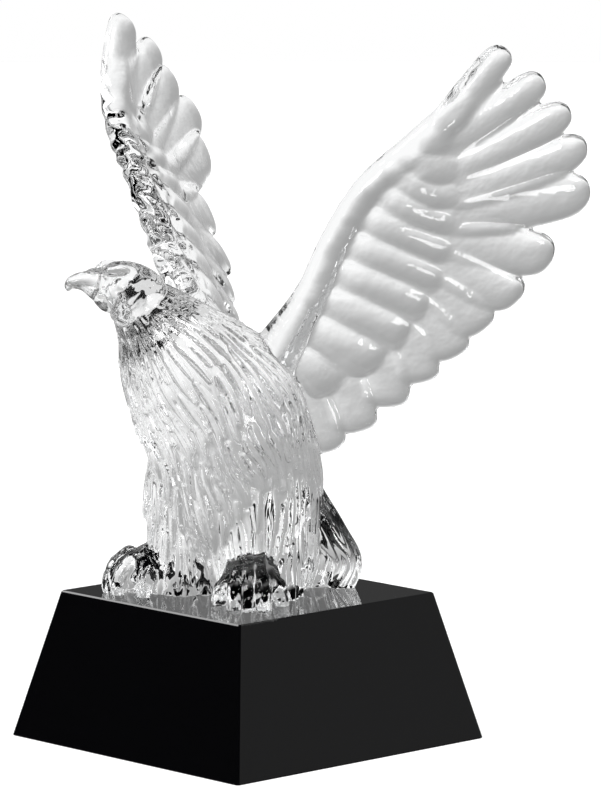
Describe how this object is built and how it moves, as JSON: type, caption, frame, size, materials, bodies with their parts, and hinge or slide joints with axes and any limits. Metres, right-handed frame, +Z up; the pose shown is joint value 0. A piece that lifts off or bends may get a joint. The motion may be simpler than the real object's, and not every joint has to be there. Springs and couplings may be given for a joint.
{
  "type": "crystal eagle sculpture",
  "caption": "Clear cast-crystal eagle with raised, spread wings and a turned head, standing on a black crystal plinth with slanting sides.",
  "frame": {"origin": "centre of the plinth's square underside", "axes": "+Z up, the eagle's body faces -Y, +X towards the eagle's left wing"},
  "size_m": [0.2208, 0.1511, 0.2669],
  "materials": {
    "clear_crystal": "polished clear crystal, see-through, with bright glints along its cast feathers",
    "black_crystal": "polished black crystal, opaque and mirror-like, with narrow bright bevels"
  },
  "bodies": {
    "root": {"eagle": "clear_crystal", "plinth": "black_crystal"}
  },
  "joints": []
}
